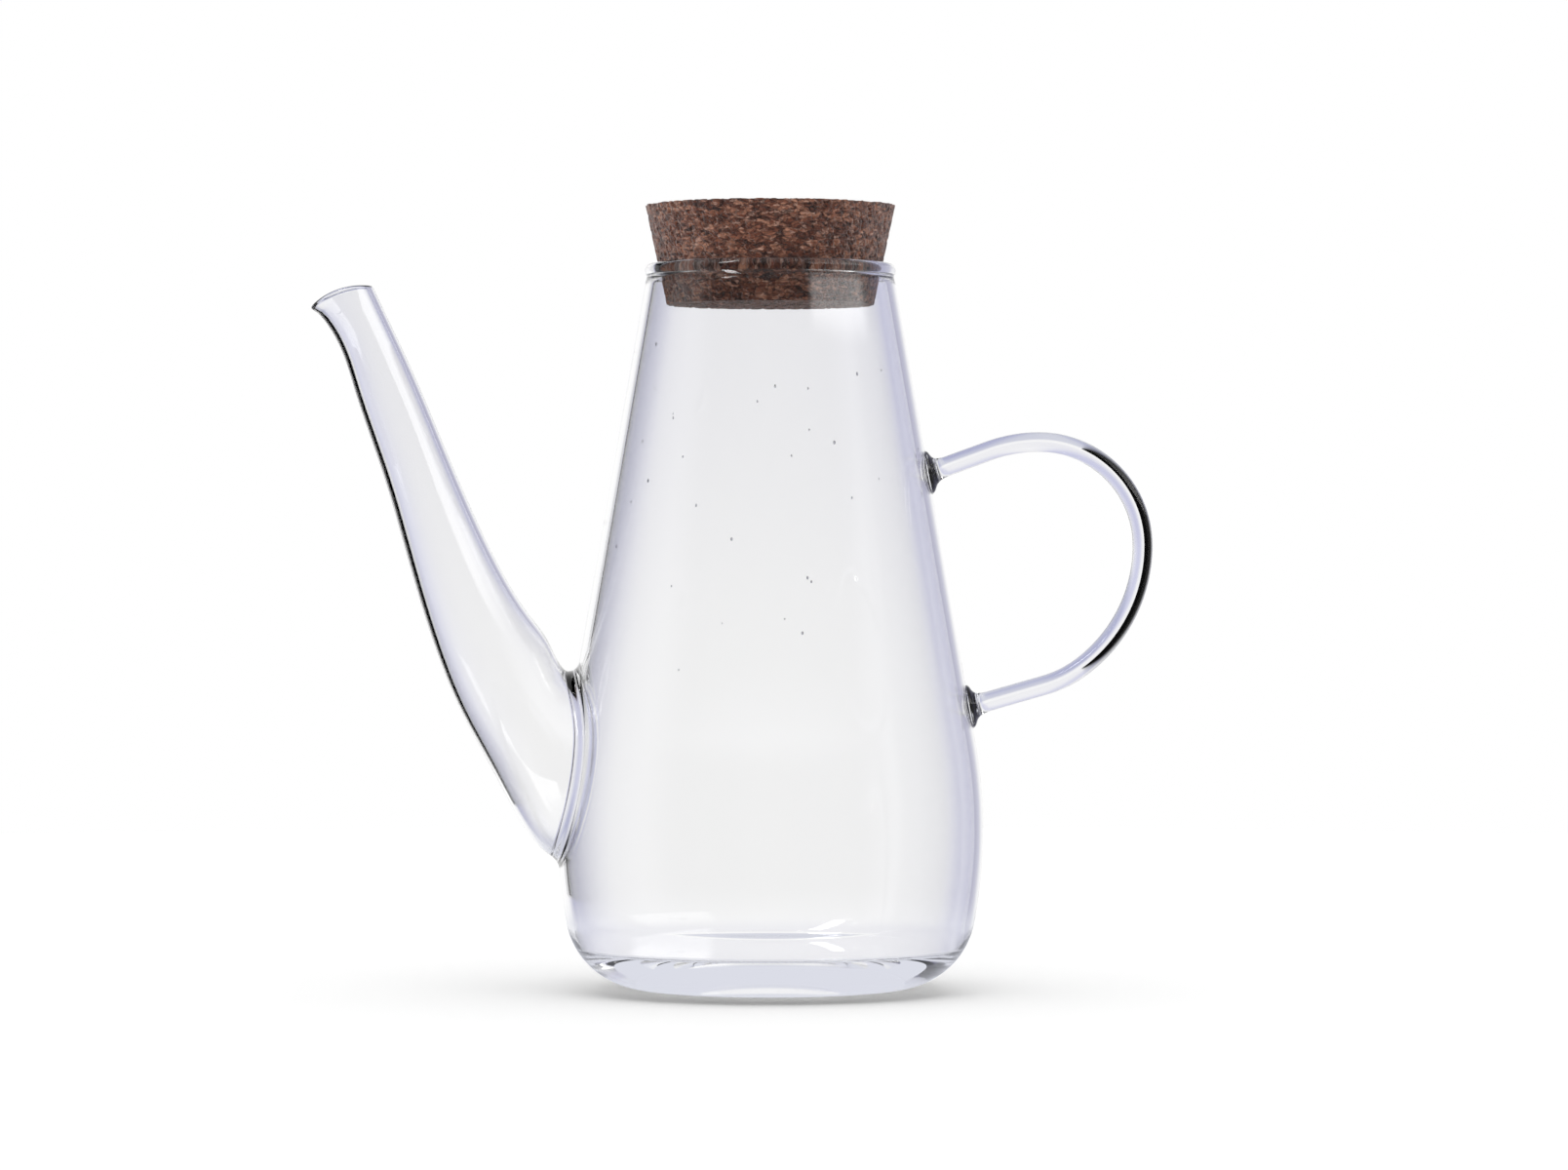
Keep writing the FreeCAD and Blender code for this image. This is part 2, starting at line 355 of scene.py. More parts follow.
spoutSizes = {
    # centre x, centre z, diameter, lean of each section's plane from upright
    "sections": [(-34.5, 46.5, 37.0, 7.0), (-43.3, 46.7, 38.6, 7.0), (-53.0, 59.7, 30.4, 21.8),
                 (-58.5, 69.0, 25.2, 34.4), (-63.3, 78.8, 21.0, 46.5), (-68.5, 92.0, 17.3, 59.7),
                 (-74.9, 109.9, 14.4, 69.8), (-82.3, 129.4, 12.8, 67.7), (-88.3, 143.0, 12.1, 66.0),
                 (-90.9, 147.1, 13.5, 73.8)],
    "mouthWidth": 12.4,         # across the lip, which spreads only to the front
    "rimLift": 1.3, "rimLiftRun": 5.0,      # the sides of the rim stand above its two ends
    "lipDrop": 0.9, "lipReach": 0.5, "lipRun": 3.2,     # the pouring lip, drawn out and down
    "wallAtRoot": 1.3, "wallAtLip": 0.9,
    "seamRound": 2.8, "innerSeamRound": 1.5, "lipRound": 0.55,
    "seamRows": 11, "seamReach": (0.8, 6.5), "seamClear": 0.75,     # clear: free room in the body's mesh
    "around": 112, "along": 96, "samples": 1500,
}


def spoutShape(s, inset):
    # skin of the horn: centre, half-width in the plane of symmetry and half-width across
    rows = np.array(s["sections"])
    places = np.concatenate([[0], np.cumsum(np.hypot(*np.diff(rows[:, :2], axis=0).T))])
    share = np.clip((places - places[1]) / (places[-1] - places[1]), 0, 1)
    thin = inset * (s["wallAtRoot"] + (s["wallAtLip"] - s["wallAtRoot"]) * share)
    radius = rows[:, 2] / 2 - thin
    widths = rows[:, 2] / 2 - thin
    widths[-1] = s["mouthWidth"] / 2 - thin[-1]
    lean = np.radians(rows[:, 3])
    values = np.stack([rows[:, 0], rows[:, 1], np.sin(lean) * radius, np.cos(lean) * radius, widths], 1)
    at = smoothThrough(places, values)

    def skinAt(place, turn):
        v = at(place)
        lift = np.clip(1 - (places[-1] - place) / s["rimLiftRun"], 0, 1.2) ** 2 * s["rimLift"]
        lip = np.clip(1 - (places[-1] - place) / s["lipRun"], 0, 1.2) ** 2
        lip = lip * np.clip(-np.cos(turn), 0, 1) ** 3
        x = v[..., 0] + np.cos(turn) * v[..., 2] - lip * s["lipReach"]
        z = v[..., 1] + np.cos(turn) * v[..., 3] + lift * np.sin(turn) ** 2 - lip * s["lipDrop"]
        return np.stack([x, np.sin(turn) * v[..., 4], z], -1)
    return skinAt, places[-1]


def spoutSkin(skin, s, inside):
    # one side of the spout from its rounded seam on the body to its mouth
    skinAt, last = spoutShape(s, 1.0 if inside else 0.0)
    last = last - s["lipRound"]
    turns = 2 * math.pi * np.arange(s["around"]) / s["around"]
    dense = np.linspace(0, last, s["samples"])
    place, turn = np.meshgrid(dense, turns, indexing="ij")
    lines = skinAt(place, turn)
    away = np.hypot(lines[..., 0], lines[..., 1]) - sideRadius(lines[..., 2], inside)
    count = len(turns)
    seamRow = np.array([np.nonzero(away[:, n] < 0)[0].max() for n in range(count)])
    column = np.arange(count)
    lower, upper = away[seamRow, column], away[seamRow + 1, column]
    seamAt = dense[seamRow] + (dense[1] - dense[0]) * (-lower) / (upper - lower)
    seam = skinAt(seamAt, turns)
    travelled = np.concatenate([np.zeros((1, count)),
                                np.cumsum(np.linalg.norm(np.diff(lines, axis=0), axis=-1), axis=0)])
    small = 0.01

    def wayAt(p, t):
        return unit(skinAt(p + small, t) - skinAt(p - small, t))
    seamWay = wayAt(seamAt, turns)
    angle, run = ontoSide(seam, inside)
    sideNormal = surfacePoint(angle, run)[1]
    if inside:
        sideNormal = -sideNormal
    ringWay = unit(np.roll(seam, -1, 0) - np.roll(seam, 1, 0))
    outWay = unit(np.cross(sideNormal, ringWay))
    outWay = outWay * np.sign((outWay * (seam - seam.mean(0))).sum(-1))[:, None]
    corner = np.arccos(np.clip((seamWay * outWay).sum(-1), -1, 1))
    rounding = s["innerSeamRound"] if inside else s["seamRound"]
    reach = np.clip(rounding / np.tan(corner / 2), *s["seamReach"])
    for _ in range(6):
        reach = (np.roll(reach, 1) + 2 * reach + np.roll(reach, -1)) / 4
    startAt = np.empty(count)
    for n in range(count):
        seamRun = np.interp(seamAt[n], dense, travelled[:, n])
        startAt[n] = np.interp(seamRun + reach[n], travelled[:, n], dense)
    start, startWay = skinAt(startAt, turns), wayAt(startAt, turns)
    footAngle, footRun = ontoSide(seam + outWay * reach[:, None], inside)
    foot, footNormal = surfacePoint(footAngle, footRun)
    facing = -footNormal if inside else footNormal
    footWay = outWay - facing * (outWay * facing).sum(-1)[:, None]
    footWay = unit(footWay)
    pull = (reach * 0.62 * np.clip(np.sin(corner / 2) * 1.25, 0.5, 1.0))[:, None]
    bend, bendWay = bendRows(foot, foot - footWay * pull, start - startWay * pull, start, s["seamRows"])
    share = np.linspace(0, 1, s["along"])[1:, None]
    share = 0.35 * share ** 1.6 + 0.65 * share          # rows closer together at the root
    rowPlace = startAt + (last - startAt) * share
    rowTurn = np.broadcast_to(turns, rowPlace.shape)
    rows = skinAt(rowPlace, rowTurn)
    rowWays = wayAt(rowPlace, rowTurn)
    points = np.concatenate([bend, rows])
    ways = np.concatenate([bendWay, rowWays])
    rounds = np.roll(points, -1, 1) - np.roll(points, 1, 1)
    normals = unit(np.cross(rounds, ways))
    centre = points.mean(1, keepdims=True)
    if (normals[-1] * (points[-1] - centre[-1])).sum() < 0:
        normals = -normals
    if inside:
        normals = -normals
    normals[0] = footNormal
    index = skin.addPoints(points, normals)
    skin.addGrid(index)
    hole = {"angle": footAngle, "run": footRun, "index": index[0], "clear": s["seamClear"]}
    return hole, index, points, wayAt(np.full(count, last), turns)


def lipSkin(skin, outer, inner, s):
    # fire-polished round lip between the outer and the inner mouth
    outerIndex, outerPoints, outerWay = outer
    innerIndex, innerPoints = inner[:2]
    a, b = outerPoints[-1], innerPoints[-1]
    ahead = unit(outerWay.mean(0))
    turn = np.linspace(0, math.pi, 9)[1:-1, None, None]
    middle, half = (a + b) / 2, (a - b) / 2
    points = middle + half * np.cos(turn) + ahead * s["lipRound"] * np.sin(turn)
    thick = np.linalg.norm(half, axis=-1, keepdims=True)
    normals = unit(half / thick * np.cos(turn) * s["lipRound"] + ahead * np.sin(turn) * thick)
    index = skin.addPoints(points, normals)
    skin.addGrid(np.concatenate([outerIndex[-1:], index, innerIndex[-1:]]))


handleSizes = {
    "rod": 4.2, "upperFoot": (33.0, 109.1), "upperRun": 14.3, "upperRise": 20.0,
    "arcs": [(31.0, 20.0), (22.0, 90.0), (32.0, 55.0), (24.0, 19.0)],     # radius, turn
    "lowerRun": 17.4,
    # fused foot from the wall out: radius and height of the swelling
    "foot": [(4.7, 0.0), (4.55, 0.32), (4.2, 0.68), (3.6, 1.0), (3.0, 1.35), (2.5, 1.95),
             (2.22, 2.8), (2.1, 3.8)],
    "around": 40, "step": 1.1, "footRows": 15, "seamClear": 0.45,
}


def handleLine(s):
    # middle line of the rod and its heading, from the upper foot to the lower
    heading = math.radians(s["upperRise"])
    here = np.array(s["upperFoot"], float)
    points, headings = [], []

    def run(length):
        count = int(length / s["step"] * 4)
        way = np.array([math.cos(heading), math.sin(heading)])
        points.extend(here + way * t for t in np.linspace(0, length, count, endpoint=False))
        headings.extend([heading] * count)
        return here + way * length

    here = run(s["upperRun"])
    for radius, turn in s["arcs"]:
        sweep = math.radians(turn)
        centre = here + radius * np.array([math.sin(heading), -math.cos(heading)])
        count = int(radius * sweep / s["step"] * 4)
        for a in np.linspace(0, sweep, count, endpoint=False):
            points.append(centre + radius * np.array([-math.sin(heading - a), math.cos(heading - a)]))
            headings.append(heading - a)
        heading -= sweep
        here = centre + radius * np.array([-math.sin(heading), math.cos(heading)])
    run(s["lowerRun"])
    return np.array(points), np.array(headings)


def handleSkin(skin, s):
    # the bent rod from wall to wall, flared at both ends where it is fused on
    centres, headings = handleLine(s)
    away = np.abs(centres[:, 0]) - sideRadius(centres[:, 1], False)
    out = np.nonzero(away > 0)[0]
    centres, headings = centres[out[0]:out[-1] + 1], headings[out[0]:out[-1] + 1]
    run = np.concatenate([[0], np.cumsum(np.linalg.norm(np.diff(centres, axis=0), axis=1))])
    turns = 2 * math.pi * np.arange(s["around"]) / s["around"]
    footLength = s["foot"][-1][1]

    def ringAt(place, radius):
        x, z = np.interp(place, run, centres[:, 0]), np.interp(place, run, centres[:, 1])
        h = np.interp(place, run, headings)
        across = radius * np.cos(turns)
        return np.stack([x - math.sin(h) * across, radius * np.sin(turns), z + math.cos(h) * across], -1)

    def footRings(atEnd):
        # rings from the wall out to where the plain rod starts
        place = run[-1] if atEnd else 0.0
        h = headings[-1] if atEnd else headings[0]
        out = np.array([math.cos(h), 0, math.sin(h)]) * (-1 if atEnd else 1)
        middle = ringAt(place, 0.0)[0]
        angle, along = ontoSide(middle[None], False)
        middle, normal = surfacePoint(angle, along)
        middle, normal = middle[0], normal[0]
        up = np.array([-math.sin(h), 0, math.cos(h)])
        up = unit(up - normal * (up @ normal))
        rings, feet = [], None
        fine = np.array(s["foot"])
        parts = np.concatenate([[0], np.cumsum(np.hypot(*np.diff(fine, axis=0).T))])
        dense = smoothThrough(parts, fine)(np.linspace(0, parts[-1], s["footRows"]))
        for radius, height in dense:
            flat = middle + radius * (np.cos(turns)[:, None] * up + np.sin(turns)[:, None] * [0, 1, 0])
            footAngle, footRun = ontoSide(flat, False)
            base = surfacePoint(footAngle, footRun)
            if feet is None:
                feet = (footAngle, footRun, base[1])
            share = np.clip(height / footLength, 0, 1) ** 1.2
            rod = ringAt(place - height if atEnd else place + height, radius)
            rings.append((base[0] + out * height) * (1 - share) + rod * share)
        return np.array(rings), feet

    first, firstFoot = footRings(False)
    final, finalFoot = footRings(True)
    count = int((run[-1] - 2 * footLength) / s["step"])
    plain = [ringAt(p, s["rod"] / 2) for p in np.linspace(footLength, run[-1] - footLength, count)[1:-1]]
    points = np.concatenate([first, np.array(plain), final[::-1]])
    ways = np.gradient(points, axis=0)
    rounds = np.roll(points, -1, 1) - np.roll(points, 1, 1)
    normals = unit(np.cross(rounds, ways))
    centre = points.mean(1, keepdims=True)
    if (normals[len(points) // 2] * (points - centre)[len(points) // 2]).sum() < 0:
        normals = -normals
    normals[0], normals[-1] = firstFoot[2], finalFoot[2]
    index = skin.addPoints(points, normals)
    skin.addGrid(index)
    return [{"angle": f[0], "run": f[1], "index": index[row], "clear": s["seamClear"]}
            for f, row in ((firstFoot, 0), (finalFoot, -1))]


def makeMesh(name, points, faces, normals):
    # a smooth mesh in metres, with the shape's own normals
    mesh = bpy.data.meshes.new(name)
    mesh.from_pydata((np.asarray(points) * mm).tolist(), [], faces)
    mesh.update()
    mesh.polygons.foreach_set("use_smooth", [True] * len(mesh.polygons))
    mesh.normals_split_custom_set_from_vertices(np.asarray(normals).tolist())
    piece = bpy.data.objects.new(name, mesh)
    bpy.context.scene.collection.objects.link(piece)
    return piece


vesselSkin = Skin()
outerSpout = spoutSkin(vesselSkin, spoutSizes, False)
innerSpout = spoutSkin(vesselSkin, spoutSizes, True)
lipSkin(vesselSkin, outerSpout[1:], innerSpout[1:], spoutSizes)
handleHoles = handleSkin(vesselSkin, handleSizes)
bodySkin(vesselSkin, [outerSpout[0], innerSpout[0]] + handleHoles)
vessel = makeMesh("glassVessel", np.concatenate(vesselSkin.points), vesselSkin.faces,
                  np.concatenate(vesselSkin.normals))
print("cruet: vessel made,", len(vessel.data.polygons), "faces")


# borosilicate glass, blown and flame polished: clear, a little wavy, never rough

glassLook = {"ior": 1.473, "tint": "#FFFFFF", "waveSize": 28.0, "waveHeight": 0.02}


def glassMaterial(look):
    material, tree = newMaterial("borosilicate glass, flame polished")
    place = addNode(tree, "ShaderNodeTexCoord").outputs["Object"]
    drawn = addNode(tree, "ShaderNodeMapping", {}, {"Vector": place, "Scale": (1.0, 1.0, 0.55)})
    waves = addNode(tree, "ShaderNodeTexNoise", {},
                    {"Vector": drawn.outputs[0], "Scale": 1000 / look["waveSize"], "Detail": 1.0})
    bump = addNode(tree, "ShaderNodeBump", {},
                   {"Height": waves.outputs["Fac"], "Strength": 1.0, "Distance": look["waveHeight"] * mm})
    shader = addNode(tree, "ShaderNodeBsdfPrincipled", {},
                     {"Base Color": rgba(look["tint"]), "Roughness": 0.0, "IOR": look["ior"],
                      "Transmission Weight": 1.0, "Normal": bump.outputs[0]})
    addNode(tree, "ShaderNodeOutputMaterial", {}, {"Surface": shader.outputs[0]})
    return material


vessel.data.materials.append(glassMaterial(glassLook))


# cork: granules of bark pressed and glued into a cone

corkSizes = {
    "bottomRadius": 22.0, "topRadius": 26.5, "bottomHeight": 144.8, "topHeight": 166.0,
    "granule": 3.0, "groove": 0.22, "pit": 0.35, "wander": 1.6, "seed": 4,
    "around": 300, "side": 40, "rings": 44,
}


def corkTree(s, material):
    # a cone of fine cells, its skin let down along the joints between granules
    tree = bpy.data.node_groups.new("corkStopper", "GeometryNodeTree")
    face = tree.interface
    face.new_socket("Geometry", in_out="OUTPUT", socket_type="NodeSocketGeometry")
    for label, value in (("Bottom Radius", s["bottomRadius"]), ("Top Radius", s["topRadius"]),
                         ("Bottom Height", s["bottomHeight"]), ("Top Height", s["topHeight"]),
                         ("Granule", s["granule"]), ("Groove", s["groove"]), ("Pit", s["pit"])):
        face.new_socket(label, in_out="INPUT", socket_type="NodeSocketFloat").default_value = value * mm
    face.new_socket("Seed", in_out="INPUT", socket_type="NodeSocketInt").default_value = s["seed"]
    size = addNode(tree, "NodeGroupInput").outputs

    base = addNode(tree, "GeometryNodeMeshCylinder", {"fill_type": "TRIANGLE_FAN"},
                   {"Vertices": s["around"], "Side Segments": s["side"], "Fill Segments": s["rings"],
                    "Radius": 1.0, "Depth": 1.0})
    where = addNode(tree, "GeometryNodeInputPosition").outputs[0]
    parts = addNode(tree, "ShaderNodeSeparateXYZ", {}, {0: where}).outputs
    share = maths(tree, "ADD", parts[2], 0.5)

    def between(low, high):
        return maths(tree, "MULTIPLY_ADD", share, maths(tree, "SUBTRACT", size[high], size[low]), size[low])

    wide, tall = between("Bottom Radius", "Top Radius"), between("Bottom Height", "Top Height")
    coned = addNode(tree, "ShaderNodeCombineXYZ", {},
                    {0: maths(tree, "MULTIPLY", parts[0], wide), 1: maths(tree, "MULTIPLY", parts[1], wide),
                     2: tall})
    cone = addNode(tree, "GeometryNodeSetPosition", {},
                   {"Geometry": base.outputs["Mesh"], "Position": coned.outputs[0]})
    again = addNode(tree, "GeometryNodeInputPosition").outputs[0]
    shift = addNode(tree, "ShaderNodeVectorMath", {"operation": "ADD"},
                    {0: again, 1: addNode(tree, "ShaderNodeCombineXYZ", {}, {0: size["Seed"]}).outputs[0]})
    rough = addNode(tree, "ShaderNodeTexNoise", {"noise_dimensions": "3D"},
                    {"Vector": shift.outputs[0], "Scale": maths(tree, "DIVIDE", 0.8, size["Granule"]),
                     "Detail": 2.0})
    wander = addNode(tree, "ShaderNodeVectorMath", {"operation": "MULTIPLY_ADD"},
                     {0: rough.outputs["Color"], 1: [s["wander"] * mm] * 3, 2: shift.outputs[0]})
    grains = addNode(tree, "ShaderNodeTexVoronoi", {"feature": "DISTANCE_TO_EDGE"},
                     {"Vector": wander.outputs[0], "Scale": maths(tree, "DIVIDE", 1.0, size["Granule"])})
    joint = spanOf(tree, grains.outputs["Distance"], 0.0, 0.12, -1.0, 0.0)
    fine = addNode(tree, "ShaderNodeTexNoise", {},
                   {"Vector": shift.outputs[0], "Scale": maths(tree, "DIVIDE", 2.6, size["Granule"]),
                    "Detail": 3.0})
    pit = spanOf(tree, fine.outputs["Fac"], 0.28, 0.5, -1.0, 0.0)
    depth = maths(tree, "MULTIPLY_ADD", joint, size["Groove"], maths(tree, "MULTIPLY", pit, size["Pit"]))
    out = addNode(tree, "GeometryNodeInputNormal").outputs[0]
    move = addNode(tree, "ShaderNodeVectorMath", {"operation": "SCALE"}, {0: out, "Scale": depth})
    worn = addNode(tree, "GeometryNodeSetPosition", {},
                   {"Geometry": cone.outputs[0], "Offset": move.outputs[0]})
    real = addNode(tree, "GeometryNodeRealizeInstances", {}, {0: worn.outputs[0]})
    done = addNode(tree, "GeometryNodeSetMaterial", {}, {"Geometry": real.outputs[0], "Material": material})
    addNode(tree, "NodeGroupOutput", {}, {0: done.outputs[0]})
    return tree


def grownMesh(name, tree, settings):
    # runs a tree once with its inputs set, and keeps the result as a plain mesh
    holder = bpy.data.objects.new(name + "Maker", bpy.data.meshes.new(name + "Maker"))
    bpy.context.scene.collection.objects.link(holder)
    modifier = holder.modifiers.new("grow", "NODES")
    modifier.node_group = tree
    for item in tree.interface.items_tree:
        if item.in_out == "INPUT" and item.name in settings:
            modifier[item.identifier] = settings[item.name]
    ready = holder.evaluated_get(bpy.context.evaluated_depsgraph_get())
    mesh = bpy.data.meshes.new_from_object(ready)
    holder.modifiers.remove(modifier)
    bpy.data.objects.remove(holder)
    piece = bpy.data.objects.new(name, mesh)
    bpy.context.scene.collection.objects.link(piece)
    return piece


# seeds: tiny bubbles of air drawn tall in the wall of the cone

seedSizes = {"count": 34, "smallest": 0.25, "largest": 0.55, "stretch": 1.7, "low": 62.0, "high": 140.0,
             "seed": 9, "around": 10, "rings": 6}


def seedTree(s, material):
    # hollow drops scattered round the middle of the cone's wall
    tree = bpy.data.node_groups.new("glassSeeds", "GeometryNodeTree")
    face = tree.interface
    face.new_socket("Geometry", in_out="OUTPUT", socket_type="NodeSocketGeometry")
    middle = [float(sideRadius(z, False)) - bodySizes["wall"] / 2 for z in (s["low"], s["high"])]
    for label, value in (("Low Height", s["low"]), ("High Height", s["high"]), ("Low Radius", middle[0]),
                         ("High Radius", middle[1]), ("Smallest", s["smallest"]), ("Largest", s["largest"])):
        face.new_socket(label, in_out="INPUT", socket_type="NodeSocketFloat").default_value = value * mm
    for label, value in (("Count", s["count"]), ("Seed", s["seed"])):
        face.new_socket(label, in_out="INPUT", socket_type="NodeSocketInt").default_value = value
    size = addNode(tree, "NodeGroupInput").outputs

    def chance(low, high, draw):
        number = maths(tree, "ADD", size["Seed"], draw)
        return addNode(tree, "FunctionNodeRandomValue", {"data_type": "FLOAT"},
                       {2: low, 3: high, 8: number}).outputs[1]

    def part(low, high, share):
        return maths(tree, "MULTIPLY_ADD", share, maths(tree, "SUBTRACT", size[high], size[low]), size[low])

    share, turn = chance(0.0, 1.0, 1), chance(0.0, 2 * math.pi, 2)
    reach = part("Low Radius", "High Radius", share)
    place = addNode(tree, "ShaderNodeCombineXYZ", {},
                    {0: maths(tree, "MULTIPLY", reach, maths(tree, "COSINE", turn)),
                     1: maths(tree, "MULTIPLY", reach, maths(tree, "SINE", turn)),
                     2: part("Low Height", "High Height", share)})
    spots = addNode(tree, "GeometryNodePoints", {}, {"Count": size["Count"], "Position": place.outputs[0]})
    ball = addNode(tree, "GeometryNodeMeshUVSphere", {},
                   {"Segments": s["around"], "Rings": s["rings"], "Radius": 0.5})
    hollow = addNode(tree, "GeometryNodeFlipFaces", {}, {0: ball.outputs["Mesh"]})
    wide = chance(size["Smallest"], size["Largest"], 3)
    tall = maths(tree, "MULTIPLY", wide, s["stretch"])
    scale = addNode(tree, "ShaderNodeCombineXYZ", {}, {0: wide, 1: wide, 2: tall})
    placed = addNode(tree, "GeometryNodeInstanceOnPoints", {},
                     {"Points": spots.outputs[0], "Instance": hollow.outputs[0], "Scale": scale.outputs[0]})
    real = addNode(tree, "GeometryNodeRealizeInstances", {}, {0: placed.outputs[0]})
    done = addNode(tree, "GeometryNodeSetMaterial", {}, {"Geometry": real.outputs[0], "Material": material})
    addNode(tree, "NodeGroupOutput", {}, {0: done.outputs[0]})
    return tree


seeds = grownMesh("glassSeeds", seedTree(seedSizes, vessel.data.materials[0]), {"Count": seedSizes["count"]})
print("cruet: seeds made,", len(seeds.data.polygons), "faces")


# cork's look: five browns, and sizes of the granules and flecks in millimetres

corkLook = {
    "dark": "#30150D", "middle": "#683A29", "light": "#A1725C", "joint": "#0E0402", "pale": "#CBA594",
    "granule": 2.2, "flatness": 2.0, "chip": 1.0, "fleck": 0.45, "wander": 2.4, "bump": 0.3,
    "roughness": 0.7, "ior": 1.45, "specular": 0.15, "sheen": 0.5, "sheenRoughness": 0.5,
    "sheenTint": (0.9, 0.85, 0.85, 1.0),
}


def corkMaterial(look):
    # agglomerated cork, ground and pressed: flat granules of mixed brown, dark joints and pores, matt
    material, tree = newMaterial("agglomerated cork")
    place = addNode(tree, "ShaderNodeTexCoord").outputs["Object"]
    flat = addNode(tree, "ShaderNodeMapping", {}, {"Vector": place, "Scale": (1.0, 1.0, look["flatness"])})
    rough = addNode(tree, "ShaderNodeTexNoise", {},
                    {"Vector": flat.outputs[0], "Scale": 1000 / look["granule"], "Detail": 2.0})
    wander = addNode(tree, "ShaderNodeVectorMath", {"operation": "MULTIPLY_ADD"},
                     {0: rough.outputs["Color"], 1: [look["wander"] * mm] * 3, 2: flat.outputs[0]})

    def cells(size, feature):
        return addNode(tree, "ShaderNodeTexVoronoi", {"feature": feature},
                       {"Vector": wander.outputs[0], "Scale": 1000 / size}).outputs

    def joints(size, depth):
        return spanOf(tree, cells(size, "DISTANCE_TO_EDGE")["Distance"], 0.0, 0.1, depth, 0.0)

    large = addNode(tree, "ShaderNodeSeparateColor", {}, {0: cells(look["granule"], "F1")["Color"]}).outputs
    small = addNode(tree, "ShaderNodeSeparateColor", {}, {0: cells(look["chip"], "F1")["Color"]}).outputs
    tone = maths(tree, "MULTIPLY_ADD", small[0], 0.5, maths(tree, "MULTIPLY", large[0], 0.5))
    ramp = addNode(tree, "ShaderNodeValToRGB", {}, {"Fac": tone})
    ramp.color_ramp.elements[0].color = rgba(look["dark"])
    ramp.color_ramp.elements[0].position = 0.12
    ramp.color_ramp.elements[1].color = rgba(look["light"])
    ramp.color_ramp.elements[1].position = 0.9
    ramp.color_ramp.elements.new(0.5).color = rgba(look["middle"])
    fleck = addNode(tree, "ShaderNodeTexNoise", {},
                    {"Vector": flat.outputs[0], "Scale": 1000 / look["fleck"] / 2, "Detail": 4.0,
                     "Roughness": 0.65}).outputs["Fac"]
    toned = addNode(tree, "ShaderNodeVectorMath", {"operation": "SCALE"},
                    {0: ramp.outputs[0], "Scale": spanOf(tree, fleck, 0.32, 0.68, 0.6, 1.4)}).outputs[0]
    pale = mixColour(tree, maths(tree, "MULTIPLY", spanOf(tree, small[1], 0.86, 0.92, 0.0, 0.55),
                                 spanOf(tree, fleck, 0.4, 0.6, 0.3, 1.0)), toned, rgba(look["pale"]))
    glued = maths(tree, "MAXIMUM", joints(look["granule"], 0.6), joints(look["chip"], 0.35))
    pores = maths(tree, "MAXIMUM", glued, spanOf(tree, fleck, 0.28, 0.38, 0.9, 0.0))
    colour = mixColour(tree, pores, pale, rgba(look["joint"]))
    height = maths(tree, "SUBTRACT", fleck, maths(tree, "MULTIPLY", pores, 0.5))
    grain = addNode(tree, "ShaderNodeBump", {},
                    {"Height": height, "Strength": 0.9, "Distance": look["bump"] * mm})
    shader = addNode(tree, "ShaderNodeBsdfPrincipled", {},
                     {"Base Color": colour, "Roughness": look["roughness"], "IOR": look["ior"],
                      "Specular IOR Level": look["specular"], "Sheen Weight": look["sheen"],
                      "Sheen Roughness": look["sheenRoughness"], "Sheen Tint": look["sheenTint"],
                      "Normal": grain.outputs[0]})
    addNode(tree, "ShaderNodeOutputMaterial", {}, {"Surface": shader.outputs[0]})
    return material


cork = grownMesh("corkStopper", corkTree(corkSizes, corkMaterial(corkLook)),
                 {"Granule": corkSizes["granule"] * mm, "Seed": corkSizes["seed"]})
print("cruet: cork made,", len(cork.data.polygons), "faces")


# floor, world, cards, lamp and camera; sizes are in metres from here on

studio = {
    "floorColour": "#FFFFFF", "floorGlow": 0.15, "floorRadius": 0.7,
    "floorNear": "#DBDDE7", "nearRadius": (0.05, 0.15),     # how glass shows the floor round the object
    "daylight": 0.92,
    # level of white straight through glass, by degrees from +Y towards +X
    "through": [(-180, 1.0), (-24, 1.0), (-18, 0.72), (-9, 0.82), (-5, 0.96), (-2, 1.0), (1, 1.0), (6, 0.93),
                (12, 0.7), (20, 0.65), (40, 0.8), (60, 1.0), (180, 1.0)],
    # level of white off glass, first with the softbox at the right and then without it
    "mirror": [(-180, 0.05), (-125, 0.05), (-104, 0.4), (-82, 0.4), (-62, 0.05), (-36, 0.12), (-29, 0.9),
               (-20, 1.0), (12, 1.0), (24, 0.5), (60, 0.35), (80, 0.3), (88, 2.2), (138, 2.2), (144, 0.06),
               (180, 0.05)],
    "mirrorPlain": [(-180, 0.05), (-125, 0.05), (-104, 0.4), (-82, 0.4), (-62, 0.05), (-36, 0.12), (-29, 0.9),
                    (-20, 1.0), (12, 1.0), (24, 0.5), (60, 0.35), (75, 0.4), (105, 0.4), (130, 0.05),
                    (180, 0.05)],
    "boxBow": 0.338, "boxRise": (0.038, 0.046),         # the softbox's bowed lower edge, and how soft it is
    # tint of what a level lacks of white, within some degrees of +Y
    "shade": (0.0, 0.0, 0.22), "throughShade": (0.0, 0.03, 0.55), "tintSpan": 61,
    "overhead": 0.5, "overheadRise": (0.45, 0.8),
    "rise": (-0.03, 0.05), "riseTint": "#F6F6F9", "fall": (-0.08, -0.22), "fallTint": "#D6D8E4",
}


